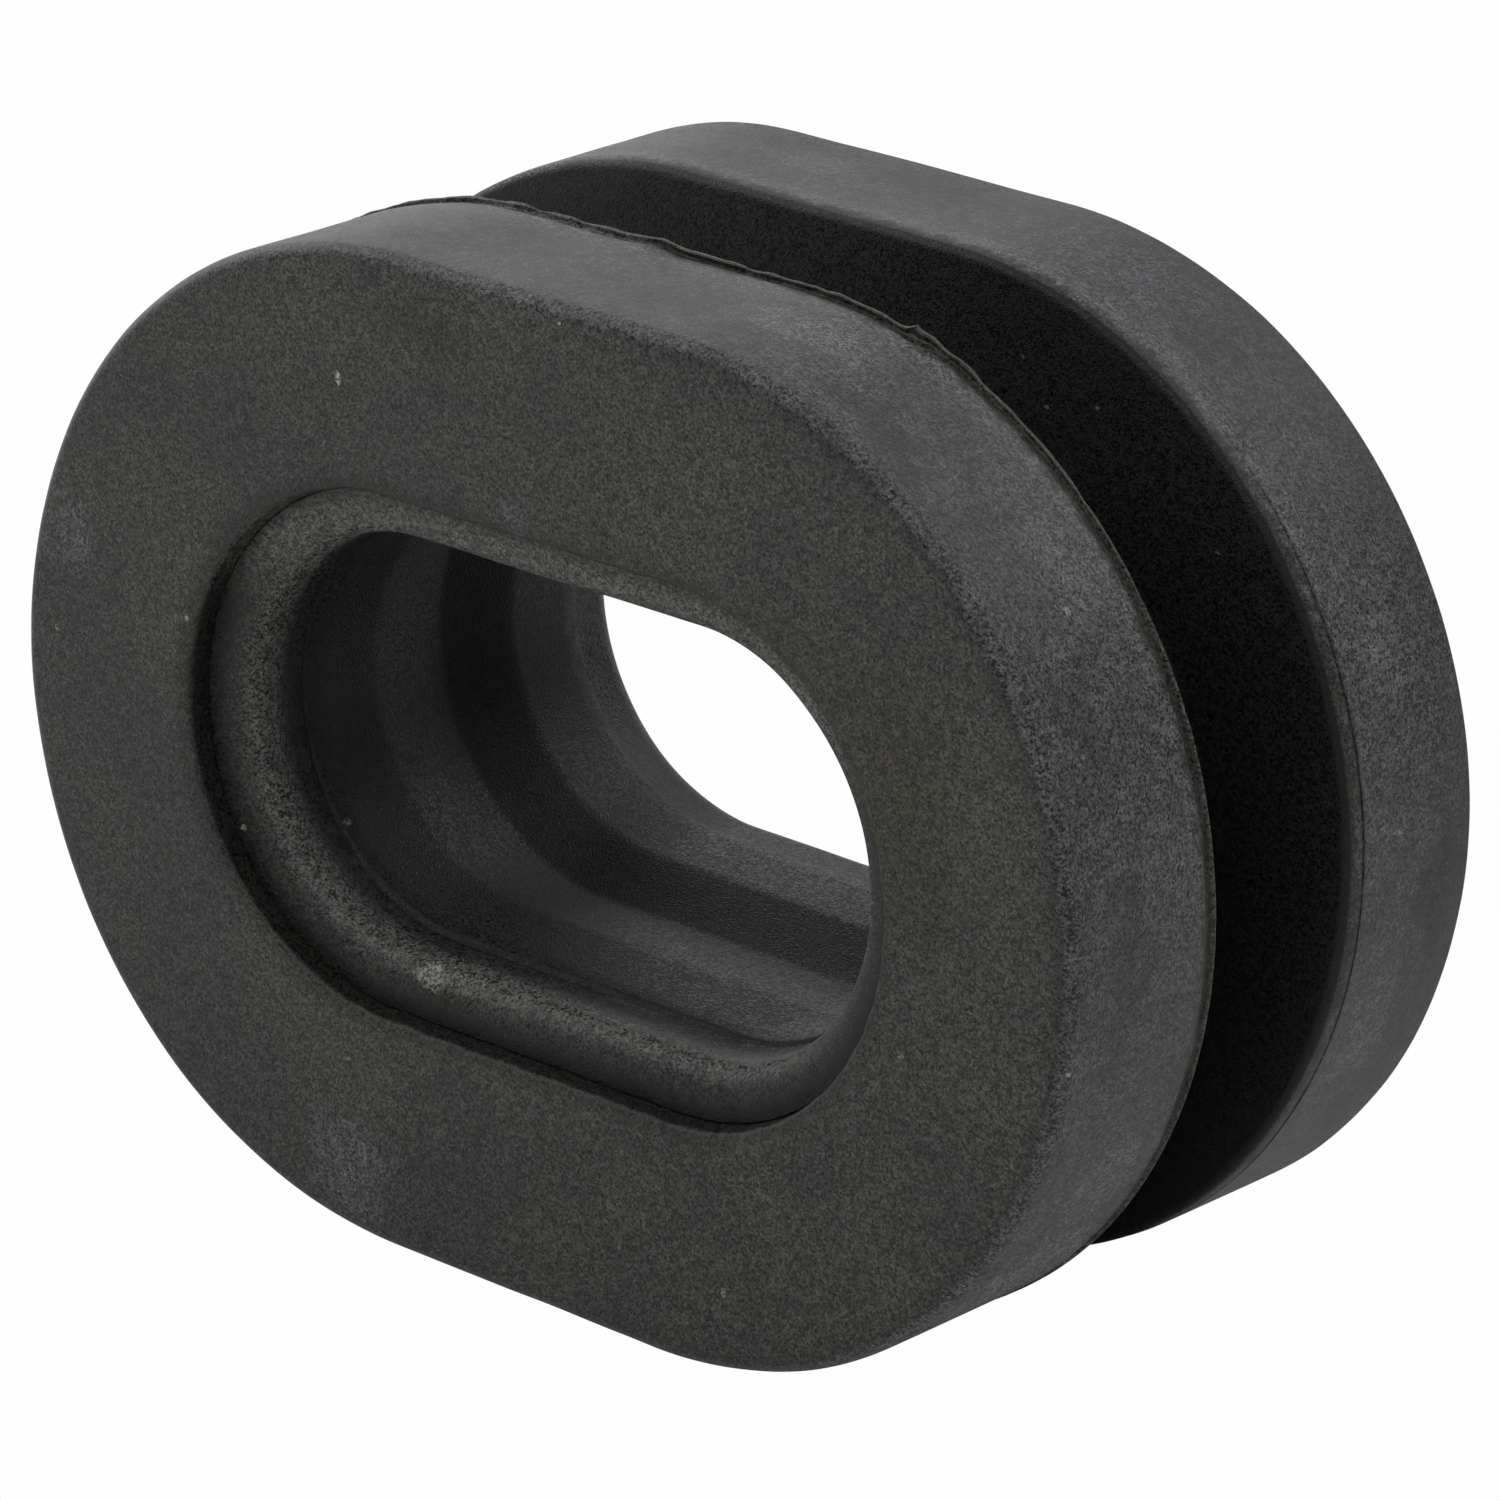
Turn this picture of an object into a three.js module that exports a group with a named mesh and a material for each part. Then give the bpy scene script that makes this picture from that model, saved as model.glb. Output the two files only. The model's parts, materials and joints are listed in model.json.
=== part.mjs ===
// Radiator mount rubber: a one-piece moulding with a slot-shaped outline. Two
// thick flanges stand either side of a deep groove that takes the edge of a
// bracket plate, and a slotted bore takes the radiator's peg. Each mouth of the
// bore has a rolled bead behind a narrow crevice, and the bore widens into a
// shallow relief behind the groove.
//
// Millimetres. +X runs along the slot, +Y from the front face to the rear face
// and +Z up. The origin is under the middle of the part, on the plane that the
// long flat edge of both flanges stands on.

import * as THREE from 'three';

// The flanges' outline: two half circles joined by straight runs
const flangeRadius = 18;
const flangeSpread = 6.15; // from the middle to the centre of each end

// What the part is made of from front to rear
const frontFlange = 7.2;
const grooveWidth = 6.9;
const rearFlange = 6.6;

// The groove
const neckRadius = 11.2;
const rootRound = 0.8; // where the groove's walls meet the neck

// The flanges' edges
const edgeRound = 0.5; // round the outer faces
const bandWidth = 0.7; // the mould's parting band, beside the groove
const bandDrop = 0.2; // how deep the band starts before it rises to a fine lip

// The bore, and the relief that widens it behind the groove
const boreRadius = 7.4;
const boreSpread = 6.5;
const reliefDepth = 0.9;
const reliefDeepest = 4.1; // behind the front flange

// The bead in each mouth of the bore
const beadRadius = 1.7;
const beadDrop = 0.75; // from the outer face down to the bead's crest
const beadProud = 0.1; // how far the bead reaches into the bore
const beadShoulder = 10; // degrees of round left outside the crest
const beadTuck = 25; // degrees of round past its narrowest place
const tuckWidth = 0.13; // the parting line between the bead and the bore wall
const rimGap = 0.55; // from the bead's crest out to the rim
const creviceDepth = 1.4; // of the crevice between the rim and the bead

// How finely round shapes are drawn
const endSteps = 30; // facets on each half circle of the outline
const arcStep = 22.5; // degrees of each facet on a round of the section

// Sizes that follow
const fullDepth = frontFlange + grooveWidth + rearFlange;
const beadCentre = boreRadius - beadProud + beadRadius;
const rimRadius = beadCentre + rimGap;

// The section is a list of points, each a radius from the line that joins the
// end centres and a depth behind the front face.

// A round in the section. 0 degrees points away from the bore, 90 to the rear.
function arc(radius, depth, size, from, to) {
  const steps = Math.max(2, Math.ceil(Math.abs(to - from) / arcStep));
  return Array.from({ length: steps + 1 }, (_, step) => {
    const angle = THREE.MathUtils.degToRad(from + ((to - from) * step) / steps);
    return [radius + size * Math.cos(angle), depth + size * Math.sin(angle)];
  });
}

// From a flange's outer face over its side and down its groove wall
function flangeSide(thickness) {
  return [
    ...arc(flangeRadius - edgeRound, edgeRound, edgeRound, -90, 0),
    [flangeRadius, thickness - bandWidth],
    [flangeRadius - bandDrop, thickness - bandWidth],
    [flangeRadius, thickness],
    ...arc(neckRadius + rootRound, thickness + rootRound, rootRound, -90, -180),
  ];
}

// From the rim of a mouth down its crevice and over the bead to the bore wall
function mouth() {
  const beadDepth = beadDrop + beadRadius;
  const bead = arc(beadCentre, beadDepth, beadRadius, beadShoulder - 90, -180 - beadTuck);
  const [, tuckDepth] = bead[bead.length - 1];
  return [
    [rimRadius, 0],
    [rimRadius, creviceDepth],
    ...bead,
    [boreRadius, tuckDepth + tuckWidth],
  ];
}

// The same points measured from the rear face
function fromRear(points) {
  return points.map(([radius, depth]) => [radius, fullDepth - depth]);
}

// The relief in the bore, from rear to front
function relief() {
  return [
    [boreRadius, frontFlange + grooveWidth],
    [boreRadius + reliefDepth, frontFlange + reliefDeepest],
    [boreRadius, frontFlange],
  ];
}

// The closed section: out over the flanges and the groove to the rear face,
// then back to the front through the bore
function section() {
  const outside = [...flangeSide(frontFlange), ...fromRear(flangeSide(rearFlange)).reverse()];
  const inside = [...fromRear(mouth()), ...relief(), ...mouth().reverse()];
  return [
    ...outside.map(([radius, depth]) => ({ radius, depth, spread: flangeSpread })),
    ...inside.map(([radius, depth]) => ({ radius, depth, spread: boreSpread })),
  ];
}

// Places round the slot: a half circle at each end, with the straight runs
// between the last place of one and the first of the other
function stations() {
  return [1, -1].flatMap((side) =>
    Array.from({ length: endSteps + 1 }, (_, step) => {
      const angle = Math.PI * (step / endSteps - side / 2);
      return { side, across: Math.cos(angle), up: Math.sin(angle) };
    }),
  );
}

// Carries the section round the slot as one closed surface
function slotSweep(profile, places) {
  const positions = places.flatMap(({ side, across, up }) =>
    profile.flatMap(({ radius, depth, spread }) => [
      side * spread + radius * across,
      depth - fullDepth / 2,
      flangeRadius + radius * up,
    ]),
  );
  const indices = [];
  places.forEach((_, place) => {
    const here = place * profile.length;
    const next = ((place + 1) % places.length) * profile.length;
    profile.forEach((__, point) => {
      const after = (point + 1) % profile.length;
      indices.push(here + point, here + after, next + after);
      indices.push(here + point, next + after, next + point);
    });
  });
  const geometry = new THREE.BufferGeometry();
  geometry.setAttribute('position', new THREE.Float32BufferAttribute(positions, 3));
  geometry.setIndex(indices);
  return geometry;
}

function mountRubber() {
  const rubber = new THREE.MeshStandardMaterial({
    color: 0x353432,
    roughness: 0.82,
    metalness: 0,
    flatShading: true,
  });
  const mesh = new THREE.Mesh(slotSweep(section(), stations()), rubber);
  mesh.name = 'mount_rubber';
  return mesh;
}

const group = new THREE.Group();
group.add(mountRubber());

export default group;
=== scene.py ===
# Radiator mount rubber: a one-piece slot-shaped moulding, standing on the long
# flat edges of its two flanges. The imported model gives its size, its groove and
# its bore. This scene models the moulding again as one closed skin that also has
# the fine things the mould leaves: the rounded beads, the ragged flash beside
# the groove, the nicked rim and the grain and bloom of the rubber.

import json
import math

import bmesh
import bpy
from mathutils import Matrix, Vector


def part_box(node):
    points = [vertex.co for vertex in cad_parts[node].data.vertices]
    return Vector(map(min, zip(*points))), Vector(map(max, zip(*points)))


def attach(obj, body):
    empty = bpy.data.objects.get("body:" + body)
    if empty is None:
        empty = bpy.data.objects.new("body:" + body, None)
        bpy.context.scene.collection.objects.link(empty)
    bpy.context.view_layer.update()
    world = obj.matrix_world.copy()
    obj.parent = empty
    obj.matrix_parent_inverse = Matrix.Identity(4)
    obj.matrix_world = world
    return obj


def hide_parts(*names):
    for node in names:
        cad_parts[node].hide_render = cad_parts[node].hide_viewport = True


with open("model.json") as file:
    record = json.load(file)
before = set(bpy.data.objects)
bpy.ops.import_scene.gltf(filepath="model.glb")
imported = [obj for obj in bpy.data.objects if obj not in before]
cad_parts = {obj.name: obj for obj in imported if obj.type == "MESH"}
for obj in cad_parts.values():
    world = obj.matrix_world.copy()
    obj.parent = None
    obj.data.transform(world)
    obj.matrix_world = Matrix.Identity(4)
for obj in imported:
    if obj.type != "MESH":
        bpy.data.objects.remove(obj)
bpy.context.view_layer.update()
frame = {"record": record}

MM = 0.001

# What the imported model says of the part, in millimetres
box_low, box_high = (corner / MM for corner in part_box("mount_rubber"))
mounts = {mount["name"]: Vector(mount["pos_m"]) / MM for mount in frame["record"]["mounts"]}

FLANGE_RADIUS = (box_high.z - box_low.z) / 2
FLANGE_SPREAD = box_high.x - FLANGE_RADIUS  # from the middle to the centre of each end
AXIS_HEIGHT = box_low.z + FLANGE_RADIUS
FRONT_FACE = box_low.y
REAR_FACE = box_high.y
FULL_DEPTH = REAR_FACE - FRONT_FACE
FRONT_FLANGE = mounts["groove_front_wall"].y - FRONT_FACE
REAR_FLANGE = REAR_FACE - mounts["groove_rear_wall"].y
GROOVE_HALF = (FULL_DEPTH - FRONT_FLANGE - REAR_FLANGE) / 2
GROOVE_MIDDLE = FRONT_FLANGE + GROOVE_HALF
NECK_RADIUS = mounts["groove_floor"].z - AXIS_HEIGHT
BORE_RADIUS = AXIS_HEIGHT - mounts["bore_seat"].z
BORE_SPREAD = FLANGE_SPREAD + 0.35

# The flanges' edges
FRONT_ROUND = 0.5
REAR_ROUND = 0.15
FRONT_BAND = 0.48  # the mould's parting bands, beside the groove
REAR_BAND = 0.8
FIN_HEIGHT = 0.03  # the thin flash that stands up from the front flange's groove edge
FIN_WIDTH = 0.07
FIN_AT_ENDS = 0.45  # how much of the flash is left down the flange's ends
FIN_TRIMMED = 0.12  # and where it is trimmed close
REAR_LINE_DEPTH = 0.11  # of the fine line that sets the rear band off from the side
ROOT_ROUND = 0.8  # where the groove's walls meet the neck

# The mouths of the bore
RIM_RADIUS = BORE_RADIUS + 2.1
RIM_ROUND = 0.2
CREVICE_DEPTH = 0.95
BEAD_DROP = 0.84  # from the outer face down to the bead's outer edge
BEAD_FALL = 0.4  # how much deeper the bead is where its round would end in a corner
BEAD_REACH = 0.75  # how far the bead's round reaches along both of its sides
BEAD_INSIDE = BORE_RADIUS + 0.2
TUCK_DEPTH = 3.5  # the parting line between the bead and the bore wall
MOUTH_SHIFT = 0.13  # how far to the right the front mouth was moulded
MOUTH_TURN = 0.4  # and by how many degrees it was turned

# The relief in the bore, behind the groove
RELIEF_DEPTH = 0.9
RELIEF_DEEPEST = FRONT_FLANGE + 4.1
RIDGE_ROUND = 0.25

# How finely the skin is divided
LONGEST_EDGE = 1.5
END_STEPS = 220
STRAIGHT_CUTS = 22
ROUND_STEPS = 5
BEAD_STEPS = 12

# Places where the flash tore or rubber stayed behind: a place, the reach of the
# pull and how far the skin moves there
PULLS = [
    ((-0.6, -3.2, 36.1), 1.5, (0, 0, 0.16)),
    ((-1.0, -3.4, 35.85), 0.7, (0, 0, 0.2)),
    ((10.7, -3.18, 35.5), 0.4, (0.06, 0, 0.2)),
    ((11.4, -3.18, 35.3), 1.0, (0.07, 0, 0.2)),
    ((12.6, -3.18, 34.8), 1.4, (0.07, 0, 0.13)),
]

# Marks on the rubber, each with its place, its half sizes, its colour, how
# strong it is and how much the smears break it up
MARKS = [
    # Pale specks of dust on the front flange
    ((-8.57, -10.35, 31.16), (0.16, 0.5, 0.34), "8c8c88", 0.8, 0.3),
    ((1.66, -10.35, 35.33), (0.12, 0.5, 0.16), "8f8a66", 0.8, 0.3),
    ((-22.53, -10.35, 18.76), (0.12, 0.5, 0.14), "77776f", 0.7, 0.3),
    ((-15.96, -10.35, 20.75), (0.14, 0.5, 0.16), "7a7a72", 0.7, 0.3),
    ((-8.10, -10.35, 6.52), (0.14, 0.5, 0.14), "77776f", 0.6, 0.3),
    ((9.49, -10.35, 3.19), (0.14, 0.5, 0.22), "8f8a70", 0.8, 0.3),
    ((17.09, -10.35, 13.95), (0.16, 0.5, 0.12), "8f8a70", 0.8, 0.3),
    ((18.5, -10.2, 31.6), (0.2, 0.4, 0.2), "77776f", 0.5, 0.3),
    ((23.93, -10.1, 15.21), (0.3, 0.25, 0.1), "8f8f88", 0.8, 0.3),
    ((20.31, -6.51, 29.11), (0.25, 0.18, 0.25), "77776f", 0.7, 0.3),
    ((-14.13, -9.5, 13.23), (0.16, 0.4, 0.16), "7a7862", 0.8, 0.3),
    # A scuff on the rear flange
    ((24.1, 5.4, 19.35), (0.6, 0.6, 0.13), "77777a", 0.4, 0.5),
    ((24.1, 6.5, 19.05), (0.6, 0.6, 0.13), "77777a", 0.4, 0.5),
    # Bloom, and places without it, on the front face
    ((-8.06, -10.35, 2.54), (2.2, 0.5, 2.6), "46484c", 0.7, 1.6),
    ((-0.32, -10.35, 28.29), (0.8, 0.5, 0.8), "47474a", 0.3, 1.6),
    ((-21.6, -10.35, 22.3), (1.6, 0.5, 1.6), "424446", 0.6, 1.8),
    ((-4.36, -10.35, 33.72), (2.6, 0.5, 1.2), "26241f", 0.5, 1.6),
    # An olive stain to the right of the bore
    ((16.79, -10.35, 22.78), (3.2, 0.6, 5.5), "302e22", 0.6, 1.0),
    ((11.97, -10.35, 26.32), (3.2, 0.6, 2.2), "302e22", 0.5, 1.0),
    # A dusty place on the lower bead, also paler as a painted highlight
    ((-5.4, -8.99, 10.13), (0.9, 0.8, 0.6), "6e6d63", 0.7, 2.4),
    ((-4.0, -8.9, 10.15), (1.5, 0.7, 0.5), "55544c", 0.5, 1.2),
    # Specks in the bore and in the groove
    ((-12.08, -6.4, 13.13), (0.2, 0.25, 0.2), "5a5a52", 0.6, 0.3),
    ((10.7, 3.76, 31.32), (0.16, 0.3, 0.1), "55554f", 0.6, 0.3),
    ((12.87, 3.75, 31.81), (0.12, 0.3, 0.12), "55554f", 0.6, 0.3),
    ((9.58, 3.75, 32.8), (0.12, 0.3, 0.12), "4a4a46", 0.6, 0.3),
    ((18.18, 3.74, 28.02), (0.14, 0.3, 0.12), "55554f", 0.6, 0.3),
    # Where the flash tore
    ((-0.94, -3.5, 35.95), (0.3, 0.3, 0.3), "1c1e16", 0.7, 0.5),
    # Pale and dark clouds on the front flange's side: partly bloom, partly painted light and shade that
    # follow how the light falls round the flange
    ((18.4, -6.3, 5.0), (5.5, 3.6, 5.5), "5a5a5c", 0.9, 1.4),
    ((9.33, -6.0, 35.7), (3.2, 1.6, 1.6), "5c5c5e", 0.5, 2.2),
    ((19.21, -5.6, 30.36), (2.2, 1.6, 2.6), "58585b", 0.5, 2.2),
    ((22.01, -6.1, 9.5), (2.2, 2.2, 3.2), "58585b", 0.5, 2.4),
    ((13.79, -8.4, 34.28), (3.6, 1.3, 1.8), "2b2b2c", 0.5, 2.2),
    ((21.94, -8.0, 26.63), (1.8, 1.2, 3.4), "2b2b2c", 0.5, 2.2),
    ((24.12, -7.4, 19.14), (0.9, 1.8, 2.8), "2b2b2c", 0.5, 2.2),
    # The same on the rear flange's side
    ((-3.47, 7.73, 36.0), (2.6, 1.5, 1.0), "525254", 0.5, 2.0),
    ((22.76, 6.88, 24.89), (1.2, 1.2, 2.4), "555557", 0.5, 2.0),
    ((22.87, 6.33, 11.36), (1.8, 2.0, 3.6), "555557", 0.5, 2.4),
    ((14.58, 7.04, 33.9), (3.2, 1.4, 1.8), "2a2a2b", 0.5, 2.2),
    ((24.03, 8.6, 15.98), (0.9, 1.4, 4.2), "2a2a2b", 0.5, 2.2),
]

# The grain of the rubber: the sizes of its cells, of its pebbles and of the soft
# noise for flecks, smears and patches. The cells and the pebbles are drawn a little
# coarser than the photo's grain, because finer ones blur to one tone in the render
CELL_SIZES = (0.06, 0.095)
PEBBLE_SIZE = 0.08
FLECK_SIZE = 0.4
SMEAR_SIZE = 1.3
PATCH_SIZE = 6.0
DEEP_OVER_EDGE = 0.22  # how far the groove's deep black comes over its rear edge
SMOOTH = {"interpolation_type": "SMOOTHSTEP"}  # for a change that eases in and out

# The camera, as it stood for the photo
CAMERA_PLACE = Vector((178.913, -198.314, 117.270))
CAMERA_AZIMUTH = 41.893
CAMERA_ELEVATION = 20.516
CAMERA_ROLL = 0.948
CAMERA_LENS = 198.93

# The studio: soft lights, strongest from the left and from above the front. Each
# has its azimuth, its elevation and its radiance
SOFTBOX_SIZE = 0.45
SOFTBOX_DISTANCE = 0.7
SOFTBOXES = [
    ("low_left", 270, 18, 3.96),
    ("high_front", 22, 50, 3.19),
    ("high_left_front", 315, 50, 2.82),
    ("high_right_rear", 135, 50, 1.69),
    ("low_rear", 180, 18, 1.42),
    ("low_left_rear", 225, 18, 1.4),
    ("high_rear", 180, 50, 1.23),
    ("low_left_side", 248, 18, 0.75),
    ("high_rear_right", 158, 50, 0.65),
    ("low_right", 90, 18, 0.64),
]


def deselect_objects():
    bpy.ops.object.select_all(action="DESELECT")


def select_points(piece, wanted):
    """In edit mode, selects only the points whose place in millimetres is wanted."""
    mesh = bmesh.from_edit_mesh(piece.data)
    for vert in mesh.verts:
        vert.select = wanted(vert.co / MM)
    mesh.select_flush_mode()
    bmesh.update_edit_mesh(piece.data)


def select_edges(piece, wanted):
    """In edit mode, selects only the edges whose ends in millimetres are wanted, and counts them."""
    mesh = bmesh.from_edit_mesh(piece.data)
    found = [edge for edge in mesh.edges if wanted(*(vert.co / MM for vert in edge.verts))]
    for vert in mesh.verts:
        vert.select = False
    for edge in mesh.edges:
        edge.select = False
    for edge in found:
        edge.select = True
    bmesh.update_edit_mesh(piece.data)
    return len(found)


def slot_radius(place, spread):
    """How far a place is from the line that joins the two end centres."""
    return math.hypot(max(abs(place.x) - spread, 0), place.z - AXIS_HEIGHT)


def front_flange_corners():
    """From the front face over the side, down a step, over the flash and down the groove's wall."""
    band = FRONT_FLANGE - FRONT_BAND
    return [
        (FLANGE_RADIUS, 0, FRONT_ROUND, ROUND_STEPS),
        (FLANGE_RADIUS, band, 0.12, 3),
        (FLANGE_RADIUS - 0.07, band + 0.14, 0.05, 2),
        (FLANGE_RADIUS - 0.09, FRONT_FLANGE - 0.14, 0.04, 2),
        (FLANGE_RADIUS + FIN_HEIGHT, FRONT_FLANGE - FIN_WIDTH, 0.01, 1),
        (FLANGE_RADIUS + FIN_HEIGHT, FRONT_FLANGE, 0.02, 1),
        (NECK_RADIUS, FRONT_FLANGE, ROOT_ROUND, ROUND_STEPS),
    ]


def rear_flange_corners():
    """The same from the rear face, with close points for the fine line beside the band."""
    line = REAR_FLANGE - REAR_BAND
    return [
        (FLANGE_RADIUS, 0, REAR_ROUND, 3),
        (FLANGE_RADIUS, line - 0.05, 0, 0),
        (FLANGE_RADIUS, line, 0, 0),
        (FLANGE_RADIUS, line + 0.05, 0, 0),
        (FLANGE_RADIUS - 0.08, REAR_FLANGE, 0.32, 5),
        (NECK_RADIUS, REAR_FLANGE, ROOT_ROUND, ROUND_STEPS),
    ]


def mouth_corners():
    """From the rim of a mouth down a short wall and over the bead, to where the bore wall begins."""
    return [
        (RIM_RADIUS, 0, RIM_ROUND, 4),
        (RIM_RADIUS - 0.04, CREVICE_DEPTH, 0.03, 1),
        (RIM_RADIUS - 0.11, BEAD_DROP, 0.03, 2),
        (BEAD_INSIDE, BEAD_DROP + BEAD_FALL, BEAD_REACH, BEAD_STEPS),
    ]


def tuck_corners():
    """The parting line between the front bead and the bore wall: a fine lip and a gap behind it."""
    return [
        (BEAD_INSIDE, TUCK_DEPTH - 0.5, 0.2, 2),
        (BEAD_INSIDE - 0.08, TUCK_DEPTH - 0.03, 0.02, 1),
        (BEAD_INSIDE + 0.1, TUCK_DEPTH + 0.03, 0.02, 1),
        (BORE_RADIUS, TUCK_DEPTH + 0.25, 0.1, 2),
    ]


def from_rear(corners):
    """The same corners measured from the rear face."""
    return [(radius, FULL_DEPTH - depth, reach, steps) for radius, depth, reach, steps in corners]


def section_corners():
    """The whole section: out over both flanges and the groove, and back through the bore."""
    relief = [
        (BORE_RADIUS, FULL_DEPTH - REAR_FLANGE, RIDGE_ROUND, 4),
        (BORE_RADIUS + RELIEF_DEPTH, RELIEF_DEEPEST, 0.2, 3),
        (BORE_RADIUS, FRONT_FLANGE, RIDGE_ROUND, 4),
    ]
    soft_step = [(BEAD_INSIDE, TUCK_DEPTH - 0.3, 0.2, 2), (BORE_RADIUS, TUCK_DEPTH + 0.3, 0.2, 2)]
    outside = front_flange_corners() + from_rear(rear_flange_corners())[::-1]
    rear_mouth = from_rear(mouth_corners() + soft_step)
    front_mouth = (mouth_corners() + tuck_corners())[::-1]
    return outside + rear_mouth + relief + front_mouth


def draw_section(piece, corners):
    """One point is carried through the corners, the chain is closed, and each corner gets its own round."""
    places = [
        Vector((FLANGE_SPREAD, FRONT_FACE + depth, AXIS_HEIGHT + radius)) for radius, depth, _, _ in corners
    ]
    bpy.ops.mesh.merge(type="CENTER")
    bpy.ops.transform.translate(value=places[0] * MM)
    for start, end in zip(places, places[1:]):
        bpy.ops.mesh.extrude_vertices_move(TRANSFORM_OT_translate={"value": (end - start) * MM})
    select_points(piece, lambda place: min((place - places[0]).length, (place - places[-1]).length) < 0.001)
    bpy.ops.mesh.edge_face_add()
    for corner, (_, _, reach, steps) in zip(places, corners):
        if reach:
            select_points(piece, lambda place: (place - corner).length < 0.001)
            bpy.ops.mesh.bevel(offset=reach * MM, offset_type="OFFSET", segments=steps, affect="VERTICES")
    while select_edges(piece, lambda one, other: (one - other).length > LONGEST_EDGE):
        bpy.ops.mesh.subdivide(number_cuts=1)


def pull(piece, place, reach, move):
    """Draws the skin near a place towards or away from the part, as a sculptor's pull."""
    select_points(piece, lambda point: (point - place).length < 0.16)
    bpy.ops.transform.translate(
        value=Vector(move) * MM,
        use_proportional_edit=True,
        proportional_edit_falloff="SMOOTH",
        proportional_size=reach * MM,
        use_proportional_connected=True,
    )


def weigh_points(piece, name, weight_at):
    """Makes a vertex group whose weight at each point is what its place gives."""
    group = piece.vertex_groups.new(name=name)
    for vert in piece.data.vertices:
        weight = weight_at(vert.co / MM)
        if weight > 0:
            group.add([vert.index], min(weight, 1.0), "REPLACE")


def displace(piece, group, height, middle, texture=None):
    """Moves a group's skin in and out along its normals, by a texture where there is one."""
    modifier = piece.modifiers.new(group, "DISPLACE")
    modifier.texture = texture
    modifier.texture_coords = "LOCAL"
    modifier.strength = height * MM
    modifier.mid_level = middle
    modifier.vertex_group = group
    bpy.ops.object.modifier_apply(modifier=modifier.name)


def roughen(piece, group, grain, height, middle=0.5):
    """Moves a group's skin by soft noise of this grain and height, in millimetres."""
    noise = bpy.data.textures.new(group, "CLOUDS")
    noise.noise_scale = grain * MM
    noise.noise_depth = 2
    displace(piece, group, height, middle, noise)


def rubber_body():
    """The moulding as one closed skin: half of it is spun and drawn to the middle, then mirrored."""
    deselect_objects()
    bpy.ops.mesh.primitive_plane_add(size=MM)
    piece = bpy.context.object
    piece.name = piece.data.name = "rubber_body"
    bpy.ops.object.mode_set(mode="EDIT")
    draw_section(piece, section_corners())

    bpy.ops.mesh.select_all(action="SELECT")
    centre = Vector((FLANGE_SPREAD, 0, AXIS_HEIGHT)) * MM
    bpy.ops.mesh.spin(steps=END_STEPS, angle=-math.pi, center=centre, axis=(0, 1, 0))

    # The bore's ends lie a little further out than the flanges'
    between = (RIM_RADIUS + NECK_RADIUS) / 2
    select_points(piece, lambda place: slot_radius(place, FLANGE_SPREAD) < between)
    bpy.ops.transform.translate(value=((BORE_SPREAD - FLANGE_SPREAD) * MM, 0, 0))

    # Both open edges are drawn to the middle, as the straight runs
    bpy.ops.mesh.select_all(action="DESELECT")
    bpy.ops.mesh.select_non_manifold(use_multi_face=False, use_non_contiguous=False, use_verts=False)
    bpy.ops.mesh.extrude_edges_move()
    bpy.ops.transform.resize(value=(0, 1, 1), center_override=(0, 0, 0))
    select_edges(piece, lambda one, other: abs(one.x - other.x) > FLANGE_SPREAD - 0.01)
    bpy.ops.mesh.subdivide(number_cuts=STRAIGHT_CUTS)
    bpy.ops.object.mode_set(mode="OBJECT")

    mirror = piece.modifiers.new("other half", "MIRROR")
    mirror.use_axis = (True, False, False)
    mirror.use_clip = True
    mirror.merge_threshold = 0.01 * MM
    bpy.ops.object.modifier_apply(modifier=mirror.name)

    bpy.ops.object.mode_set(mode="EDIT")
    bpy.ops.mesh.select_all(action="SELECT")
    bpy.ops.mesh.remove_doubles(threshold=0.002 * MM)
    bpy.ops.mesh.normals_make_consistent(inside=False)
    bpy.ops.object.mode_set(mode="OBJECT")
    return piece


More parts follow.
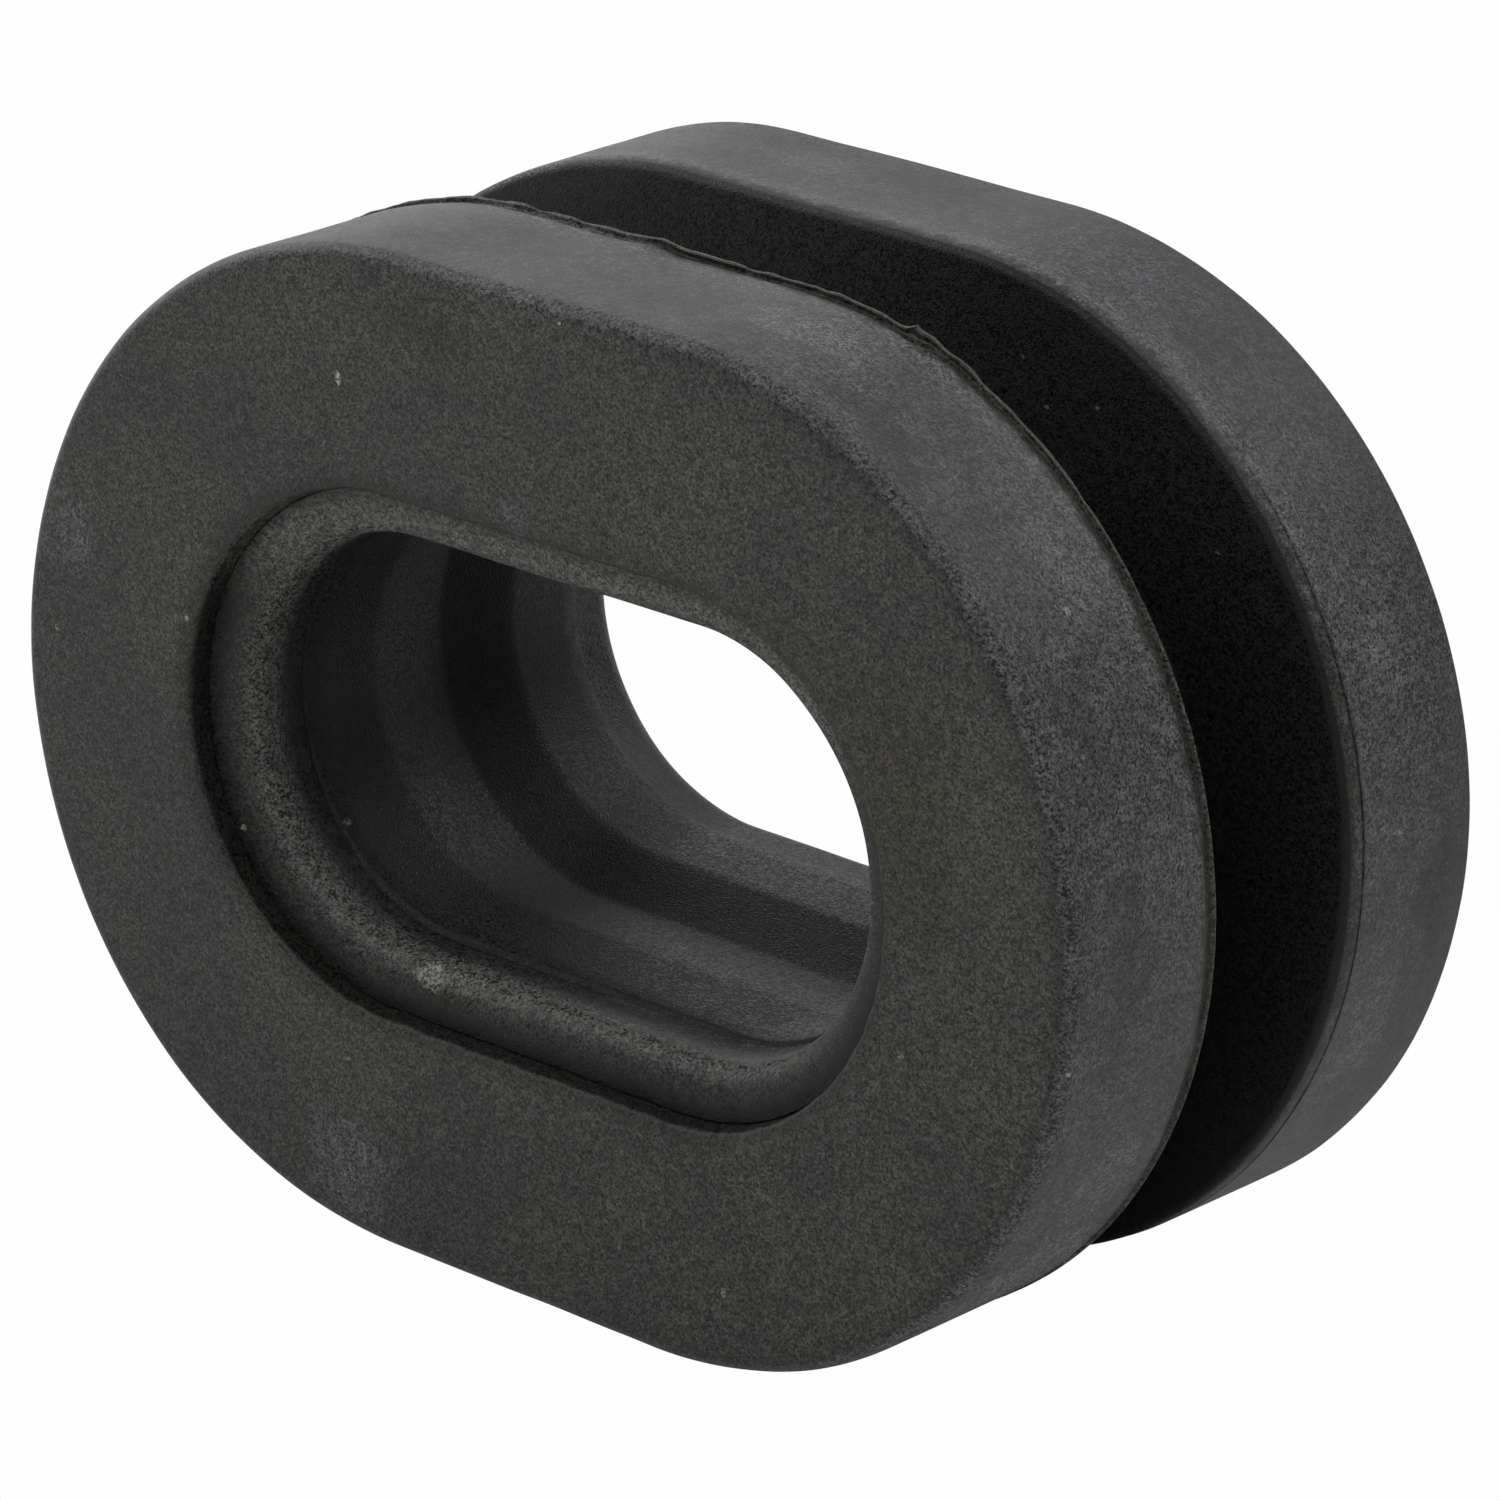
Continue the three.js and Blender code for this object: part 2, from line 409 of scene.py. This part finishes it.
def finish_flash(piece):
    """Makes the mould's flash ragged, nicks the rims and takes the machine look off the skin."""
    front_wall = FRONT_FACE + FRONT_FLANGE

    def depth(place):
        return min(place.y - FRONT_FACE, REAR_FACE - place.y)

    def fin(place):
        """The flash is tall along the top of the front flange, lower down its ends and trimmed below."""
        height = place.z - AXIS_HEIGHT
        at_edge = slot_radius(place, FLANGE_SPREAD) > FLANGE_RADIUS + FIN_HEIGHT / 2
        at_edge = at_edge and abs(place.y - front_wall) < 0.2
        on_top = height / FLANGE_RADIUS * 3.2 - 1.9
        return at_edge * max(FIN_TRIMMED, min(FIN_AT_ENDS, height / 16), on_top)

    def band(place):
        step = place.y - front_wall + FRONT_BAND
        return -0.02 < step < FRONT_BAND - 0.12 and slot_radius(place, FLANGE_SPREAD) > FLANGE_RADIUS - 0.3

    def rim(place):
        return abs(slot_radius(place, BORE_SPREAD) - RIM_RADIUS - 0.05) < 0.18 and depth(place) < 0.3

    def tuck(place):
        return slot_radius(place, BORE_SPREAD) < BORE_RADIUS + 0.4 and abs(depth(place) - TUCK_DEPTH) < 0.15

    def shoulder(place):
        return abs(slot_radius(place, BORE_SPREAD) - RIM_RADIUS + 0.1) < 0.1 and 0.7 < depth(place) < 1.1

    def rear_line(place):
        """The line beside the rear band fades out towards the top."""
        at_line = abs(REAR_FACE - REAR_FLANGE + REAR_BAND - place.y) < 0.02
        at_line = at_line and slot_radius(place, FLANGE_SPREAD) > FLANGE_RADIUS - 0.1
        return at_line * min(1, (33 - place.z) / 6)

    def in_front_mouth(place):
        return slot_radius(place, BORE_SPREAD) < RIM_RADIUS + 0.4 and place.y < FRONT_FACE + TUCK_DEPTH

    weigh_points(piece, "rear_line", rear_line)
    displace(piece, "rear_line", -REAR_LINE_DEPTH, 0)
    weigh_points(piece, "fins", fin)
    weigh_points(piece, "bands", band)
    weigh_points(piece, "rims", rim)
    weigh_points(piece, "tucks", tuck)
    weigh_points(piece, "shoulders", shoulder)
    weigh_points(piece, "skin", lambda place: fin(place) == 0)
    roughen(piece, "skin", 7, 0.10)
    roughen(piece, "bands", 1.3, 0.10)
    roughen(piece, "fins", 1.1, 0.22, 0.1)
    roughen(piece, "rims", 0.8, 0.12)
    roughen(piece, "tucks", 0.7, 0.10)
    roughen(piece, "shoulders", 1.1, 0.12)

    # The pin that shaped the front mouth stood a little to the right and turned
    bpy.ops.object.mode_set(mode="EDIT")
    select_points(piece, in_front_mouth)
    bpy.ops.transform.translate(value=(MOUTH_SHIFT * MM, 0, 0))
    middle = Vector((0, FRONT_FACE, AXIS_HEIGHT)) * MM
    bpy.ops.transform.rotate(value=math.radians(MOUTH_TURN), orient_axis="Y", center_override=middle)

    # Single places where the flash tore or a crumb of rubber stayed
    for place, reach, move in PULLS:
        pull(piece, Vector(place), reach, move)
    bpy.ops.object.mode_set(mode="OBJECT")


def rgb(code):
    """A colour given as sRGB hex, as the linear colour that a shader takes."""
    parts = [int(code[at:at + 2], 16) / 255 for at in (0, 2, 4)]
    return (*(c / 12.92 if c <= 0.04045 else ((c + 0.055) / 1.055) ** 2.4 for c in parts), 1.0)


def add_node(tree, kind, inputs=(), **settings):
    """Adds a node with its settings and links. Its inputs are given by name, or in the order in
    which the node shows them. Each is a value, an output, or a node for its first output shown."""
    node = tree.nodes.new("ShaderNode" + kind)
    for name, value in settings.items():
        setattr(node, name, value)
    if not isinstance(inputs, dict):
        shown = [at for at, socket in enumerate(node.inputs) if socket.enabled]
        inputs = dict(zip(shown, inputs))
    for socket, value in inputs.items():
        if isinstance(value, bpy.types.Node):
            value = next(output for output in value.outputs if output.enabled)
        if isinstance(value, bpy.types.NodeSocket):
            tree.links.new(value, node.inputs[socket])
        else:
            node.inputs[socket].default_value = value
    return node


def rubber_material():
    """Black EPDM rubber, moulded: matte, with a grain of about 0.1 mm and a thin grey bloom.
    The faces look warm and dark, the flanges' sides pale and slightly blue, and the groove
    and the bore stay deep black where no bloom has come out."""
    material = bpy.data.materials.new("moulded_epdm_rubber")
    material.use_nodes = True
    tree = material.node_tree
    shader = tree.nodes["Principled BSDF"]

    # Places in millimetres
    object_place = add_node(tree, "TexCoord").outputs["Object"]
    place = add_node(tree, "VectorMath", (object_place, 1 / MM), operation="SCALE")
    to_right, to_rear, up = add_node(tree, "SeparateXYZ", [place]).outputs
    height = add_node(tree, "Math", (up, AXIS_HEIGHT), operation="SUBTRACT")
    from_front = add_node(tree, "Math", (to_rear, FRONT_FACE), operation="SUBTRACT")
    from_back = add_node(tree, "Math", (FULL_DEPTH, from_front), operation="SUBTRACT")
    depth = add_node(tree, "Math", (from_front, from_back), operation="MINIMUM")
    from_groove = add_node(tree, "Math", (from_front, GROOVE_MIDDLE), operation="SUBTRACT")
    from_groove = add_node(tree, "Math", [from_groove], operation="ABSOLUTE")

    # The distances from the lines that join the end centres of the flanges and of the bore
    height_squared = add_node(tree, "Math", (height, height), operation="MULTIPLY")
    across = add_node(tree, "Math", [to_right], operation="ABSOLUTE")
    radii = []
    for spread in (FLANGE_SPREAD, BORE_SPREAD):
        beyond = add_node(tree, "Math", (across, spread), operation="SUBTRACT")
        beyond = add_node(tree, "Math", (beyond, 0.0), operation="MAXIMUM")
        squares = add_node(tree, "Math", (beyond, beyond, height_squared), operation="MULTIPLY_ADD")
        radii.append(add_node(tree, "Math", [squares], operation="SQRT"))
    outer, inner = radii

    # The grain is small cells of two sizes, each a little lighter or darker. The rest is soft
    # noise, given by its scale, its detail and its roughness
    grains = []
    for size in CELL_SIZES:
        cells = add_node(tree, "TexVoronoi", (place, 1 / size)).outputs["Color"]
        grains.append(add_node(tree, "SeparateColor", [cells]).outputs["Red"])
    grain = add_node(tree, "Math", grains, operation="ADD")
    grain = add_node(tree, "Math", (grain, 0.5), operation="MULTIPLY")
    pebbles = add_node(tree, "TexNoise", (place, 1 / PEBBLE_SIZE, 1.0, 0.5))
    flecks = add_node(tree, "TexNoise", (place, 1 / FLECK_SIZE, 3.0, 0.6))
    smears = add_node(tree, "TexNoise", (place, 1 / SMEAR_SIZE, 3.0, 0.6))
    patches = add_node(tree, "TexNoise", (place, 1 / PATCH_SIZE, 4.0, 0.55))
    uneven = add_node(tree, "Math", (flecks, smears), operation="ADD")
    uneven = add_node(tree, "Math", (uneven, 0.8, -0.8), operation="MULTIPLY_ADD")

    # The faces, warm and dark, and darker beside the rim, with painted shade along the right part of the
    # outer edge
    cloudy = add_node(tree, "MapRange", (patches, 0.35, 0.65), **SMOOTH)
    colour = add_node(tree, "Mix", (cloudy, rgb("31302f"), rgb("383735")), data_type="RGBA")
    near_rim = add_node(tree, "MapRange", (inner, RIM_RADIUS + 0.9, RIM_RADIUS + 0.05, 0.0, 0.4), **SMOOTH)
    colour = add_node(tree, "Mix", (near_rim, colour, rgb("12110d")), data_type="RGBA")
    # Painted shade: the outer edge of the face is darker to the right, where the lights from the left reach
    # it less
    near_edge = add_node(tree, "MapRange", (outer, FLANGE_RADIUS - 1.0, FLANGE_RADIUS - 0.4), **SMOOTH)
    at_right = add_node(tree, "MapRange", (to_right, 2.0, 12.0, 0.0, 0.25), **SMOOTH)
    right_edge_painted_shade = add_node(tree, "Math", (near_edge, at_right), operation="MULTIPLY")
    colour = add_node(tree, "Mix", (right_edge_painted_shade, colour, rgb("12110d")), data_type="RGBA")

    # The beads: on the front bead a painted highlight on the crest and the upper part and painted shade on
    # both flanks, the rear bead one tone, and painted shade in the crevices beside them
    # Painted shade on the outer flank by the crevice, and a painted highlight on the crest
    crest_painted_light = add_node(tree, "MapRange", (depth, 0.85, 1.5), **SMOOTH)
    bead = add_node(tree, "Mix", (crest_painted_light, rgb("191817"), rgb("474644")), data_type="RGBA")
    # Painted light: the upper part of the bead is paler
    upper_bead_painted_light = add_node(tree, "MapRange", (height, 3.0, 7.0), **SMOOTH)
    bead = add_node(tree, "Mix", (upper_bead_painted_light, bead, rgb("4e4d4b")), data_type="RGBA")
    # Painted shade on the inner flank, where the bead turns into the bore
    inner_flank_painted_shade = add_node(tree, "MapRange", (depth, 2.0, 3.0), **SMOOTH)
    bead = add_node(tree, "Mix", (inner_flank_painted_shade, bead, rgb("1b1b1b")), data_type="RGBA")
    on_rear = add_node(tree, "MapRange", (from_front, GROOVE_MIDDLE - 0.5, GROOVE_MIDDLE + 0.5), **SMOOTH)
    bead = add_node(tree, "Mix", (on_rear, bead, rgb("373736")), data_type="RGBA")
    in_mouth = add_node(tree, "MapRange", (inner, RIM_RADIUS, RIM_RADIUS - 0.2), **SMOOTH)
    colour = add_node(tree, "Mix", (in_mouth, colour, bead), data_type="RGBA")
    # Painted shade in the crevice beside the rim, below the face, stronger towards the bottom
    beside_rim = add_node(tree, "MapRange", (inner, RIM_RADIUS - 0.9, RIM_RADIUS - 0.1), **SMOOTH)
    below_face = add_node(tree, "MapRange", (depth, 0.05, 0.25), **SMOOTH)
    crevice_painted_shade = add_node(tree, "Math", (beside_rim, below_face), operation="MULTIPLY")
    more_below = add_node(tree, "MapRange", (height, -2.0, -8.0, 0.45, 0.9), **SMOOTH)
    crevice_painted_shade = add_node(tree, "Math", (crevice_painted_shade, more_below), operation="MULTIPLY")
    colour = add_node(tree, "Mix", (crevice_painted_shade, colour, rgb("0c0b08")), data_type="RGBA")

    # The sides, with pale clouds and smears, a painted highlight beside the groove on their upper part, and
    # darker to the rear
    cloudy = add_node(tree, "MapRange", (patches, 0.38, 0.66), **SMOOTH)
    side = add_node(tree, "Mix", (cloudy, rgb("3b3b3c"), rgb("444447")), data_type="RGBA")
    smeared = add_node(tree, "MapRange", (smears, 0.42, 0.62, 0.0, 0.5), **SMOOTH)
    side = add_node(tree, "Mix", (smeared, side, rgb("48484b")), data_type="RGBA")
    # Painted highlight: the upper side is paler beside the groove's edge
    beside = add_node(tree, "MapRange", (from_groove, GROOVE_HALF + 2.0, GROOVE_HALF + 0.8), **SMOOTH)
    above = add_node(tree, "MapRange", (height, 4.0, 13.0, 0.0, 0.5), **SMOOTH)
    beside = add_node(tree, "Math", (beside, above), operation="MULTIPLY")
    side = add_node(tree, "Mix", (beside, side, rgb("545455")), data_type="RGBA")
    far = add_node(tree, "MapRange", (from_front, FULL_DEPTH - 3.5, FULL_DEPTH, 0.0, 0.5), **SMOOTH)
    side = add_node(tree, "Mix", (far, side, rgb("2c2c2d")), data_type="RGBA")

    # The dark olive band beside the groove, which the front flange has only to the right of
    # the torn flash
    ragged = add_node(tree, "Math", (from_groove, uneven), operation="ADD")
    on_band = add_node(tree, "MapRange", (ragged, GROOVE_HALF + 0.85, GROOVE_HALF + 0.35), **SMOOTH)
    past_tear = add_node(tree, "MapRange", (to_right, -1.4, -0.4), **SMOOTH)
    banded = add_node(tree, "Math", (on_rear, past_tear), operation="MAXIMUM")
    on_band = add_node(tree, "Math", (on_band, banded), operation="MULTIPLY")
    side = add_node(tree, "Mix", (on_band, side, rgb("2c2a26")), data_type="RGBA")

    # Painted shade in the line beside the rear band, and the flash
    rear_line = FULL_DEPTH - REAR_FLANGE + REAR_BAND
    from_line = add_node(tree, "Math", (from_front, rear_line), operation="SUBTRACT")
    from_line = add_node(tree, "Math", [from_line], operation="ABSOLUTE")
    # Painted shade in the fine line, fading out towards the top
    line_painted_shade = add_node(tree, "MapRange", (from_line, 0.22, 0.04, 0.0, 0.6), **SMOOTH)
    below_top = add_node(tree, "MapRange", (height, 15.0, 9.0), **SMOOTH)
    line_painted_shade = add_node(tree, "Math", (line_painted_shade, below_top), operation="MULTIPLY")
    side = add_node(tree, "Mix", (line_painted_shade, side, rgb("161615")), data_type="RGBA")
    on_fin = add_node(tree, "MapRange", (from_groove, GROOVE_HALF + 0.14, GROOVE_HALF + 0.08), **SMOOTH)
    side = add_node(tree, "Mix", (on_fin, side, rgb("3b3a36")), data_type="RGBA")
    on_side = add_node(tree, "MapRange", (outer, FLANGE_RADIUS - 0.5, FLANGE_RADIUS - 0.15), **SMOOTH)
    colour = add_node(tree, "Mix", (on_side, colour, side), data_type="RGBA")

    # The groove, darkest at the right: painted shade, where the lights from the left reach it less
    groove_painted_shade = add_node(tree, "MapRange", (to_right, -4.0, 12.0), **SMOOTH)
    groove = add_node(tree, "Mix", (groove_painted_shade, rgb("201f1e"), rgb("0d0d0e")), data_type="RGBA")
    over_edge = add_node(tree, "Math", (on_rear, DEEP_OVER_EDGE), operation="MULTIPLY")
    past_edge = add_node(tree, "Math", (from_groove, over_edge), operation="SUBTRACT")
    in_groove = add_node(tree, "MapRange", (past_edge, GROOVE_HALF + 0.05, GROOVE_HALF - 0.03), **SMOOTH)
    colour = add_node(tree, "Mix", (in_groove, colour, groove), data_type="RGBA")

    # The bore, a little paler behind its relief as painted light from the rear opening, with painted shade
    # in the parting line behind each bead
    relief_end = FULL_DEPTH - REAR_FLANGE
    # Painted light: the bore is paler behind its relief, towards the rear opening
    rear_bore_painted_light = add_node(tree, "MapRange", (from_front, relief_end, relief_end + 0.3), **SMOOTH)
    bore = add_node(tree, "Mix", (rear_bore_painted_light, rgb("161616"), rgb("1e1e1e")), data_type="RGBA")
    on_wall = add_node(tree, "MapRange", (inner, BORE_RADIUS + 1.3, BORE_RADIUS + 1.0), **SMOOTH)
    past_tuck = add_node(tree, "MapRange", (depth, TUCK_DEPTH - 0.05, TUCK_DEPTH + 0.05), **SMOOTH)
    in_bore = add_node(tree, "Math", (on_wall, past_tuck), operation="MULTIPLY")
    colour = add_node(tree, "Mix", (in_bore, colour, bore), data_type="RGBA")
    # Painted shade in the parting line behind the bead
    from_tuck = add_node(tree, "Math", (depth, TUCK_DEPTH), operation="SUBTRACT")
    from_tuck = add_node(tree, "Math", [from_tuck], operation="ABSOLUTE")
    from_tuck = add_node(tree, "Math", (uneven, 0.3, from_tuck), operation="MULTIPLY_ADD")
    tuck_painted_shade = add_node(tree, "MapRange", (from_tuck, 0.32, 0.1, 0.0, 0.75), **SMOOTH)
    on_lip = add_node(tree, "MapRange", (inner, BORE_RADIUS + 0.8, BORE_RADIUS + 0.5), **SMOOTH)
    tuck_painted_shade = add_node(tree, "Math", (tuck_painted_shade, on_lip), operation="MULTIPLY")
    colour = add_node(tree, "Mix", (tuck_painted_shade, colour, rgb("080807")), data_type="RGBA")

    # Marks that sit at one place each
    smearing = add_node(tree, "Math", (smears, 0.5), operation="SUBTRACT")
    for mark_place, size, code, strength, break_up in MARKS:
        offset = add_node(tree, "VectorMath", (place, mark_place), operation="SUBTRACT")
        scaled = add_node(tree, "VectorMath", (offset, size), operation="DIVIDE")
        away = add_node(tree, "VectorMath", [scaled], operation="LENGTH")
        ragged = add_node(tree, "Math", (smearing, break_up, away), operation="MULTIPLY_ADD")
        on_mark = add_node(tree, "MapRange", (ragged, 1.0, 0.35, 0.0, strength), **SMOOTH)
        colour = add_node(tree, "Mix", (on_mark, colour, rgb(code)), data_type="RGBA")

    # The cells make the colour lighter and darker, and the skin duller and glossier
    speckle = add_node(tree, "Math", (grain, 3.2, -0.6), operation="MULTIPLY_ADD")
    speckle = add_node(tree, "Math", (speckle, 0.05), operation="MAXIMUM")
    fleck = add_node(tree, "MapRange", (flecks, 0.3, 0.7, 0.85, 1.15), **SMOOTH)
    speckle = add_node(tree, "Math", (speckle, fleck), operation="MULTIPLY")
    colour = add_node(tree, "Mix", (1.0, colour, speckle), data_type="RGBA", blend_type="MULTIPLY")
    tree.links.new(colour.outputs[2], shader.inputs["Base Color"])
    dullness = add_node(tree, "MapRange", (grain, 0.1, 0.9, 0.4, 0.8), **SMOOTH)
    tree.links.new(dullness.outputs[0], shader.inputs["Roughness"])
    shader.inputs["Specular IOR Level"].default_value = 0.25

    inputs = {"Height": pebbles, "Strength": 1.0, "Distance": 0.03 * MM}
    fine = add_node(tree, "Bump", inputs)
    inputs = {"Height": smears, "Strength": 0.5, "Distance": 0.05 * MM, "Normal": fine}
    broad = add_node(tree, "Bump", inputs)
    tree.links.new(broad.outputs[0], shader.inputs["Normal"])
    return material


body = rubber_body()
finish_flash(body)
body.data.materials.clear()
body.data.materials.append(rubber_material())
bpy.ops.object.shade_smooth_by_angle(angle=math.radians(35))
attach(body, "root")
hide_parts("mount_rubber")

# A white floor, bright enough to leave no shadow in view
deselect_objects()
bpy.ops.mesh.primitive_plane_add(size=6, location=(0, 0, -0.02 * MM))
floor = bpy.context.object
floor.name = "floor"
paper = bpy.data.materials.new("white_paper")
paper.use_nodes = True
tree = paper.node_tree
tree.nodes.clear()
seen = add_node(tree, "LightPath").outputs["Is Camera Ray"]
matt = add_node(tree, "BsdfDiffuse", {"Color": rgb("f2f2f0")})
glow = add_node(tree, "Emission", {"Color": rgb("fefefe"), "Strength": 1.0})
mix = add_node(tree, "MixShader", (seen, matt, glow))
add_node(tree, "OutputMaterial", {"Surface": mix})
floor.data.materials.append(paper)

# Past the floor the camera sees white, but only the soft lights light the part
world = bpy.data.worlds.new("studio")
world.use_nodes = True
bpy.context.scene.world = world
tree = world.node_tree
seen = add_node(tree, "LightPath").outputs["Is Camera Ray"]
background = tree.nodes["Background"]
background.inputs["Color"].default_value = (1, 1, 1, 1)
tree.links.new(seen, background.inputs["Strength"])


def softbox(name, azimuth, elevation, radiance):
    """A square soft light, aimed at the part. Azimuth 0 is in front of it and 90 to its right."""
    light = bpy.data.lights.new(name, "AREA")
    light.shape = "SQUARE"
    light.size = SOFTBOX_SIZE
    light.energy = radiance * math.pi * SOFTBOX_SIZE ** 2
    lamp = bpy.data.objects.new(name, light)
    bpy.context.scene.collection.objects.link(lamp)
    turn, rise = math.radians(azimuth), math.radians(elevation)
    out = Vector((math.sin(turn) * math.cos(rise), -math.cos(turn) * math.cos(rise), math.sin(rise)))
    aim = Vector((0, 0, AXIS_HEIGHT * MM))
    facing = out.to_track_quat("Z", "Y").to_matrix().to_4x4()
    lamp.matrix_world = Matrix.Translation(aim + out * SOFTBOX_DISTANCE) @ facing


for name, azimuth, elevation, radiance in SOFTBOXES:
    softbox(name, azimuth, elevation, radiance)

camera = bpy.data.objects.new("camera", bpy.data.cameras.new("camera"))
bpy.context.scene.collection.objects.link(camera)
bpy.context.scene.camera = camera
camera.data.lens = CAMERA_LENS
camera.data.sensor_width = 36
camera.data.clip_start = 0.01
camera.matrix_world = (
    Matrix.Translation(CAMERA_PLACE * MM)
    @ Matrix.Rotation(math.radians(CAMERA_AZIMUTH), 4, "Z")
    @ Matrix.Rotation(math.radians(90 - CAMERA_ELEVATION), 4, "X")
    @ Matrix.Rotation(math.radians(CAMERA_ROLL), 4, "Z")
)

bpy.context.scene.view_settings.view_transform = "Standard"

bpy.context.view_layer.update()
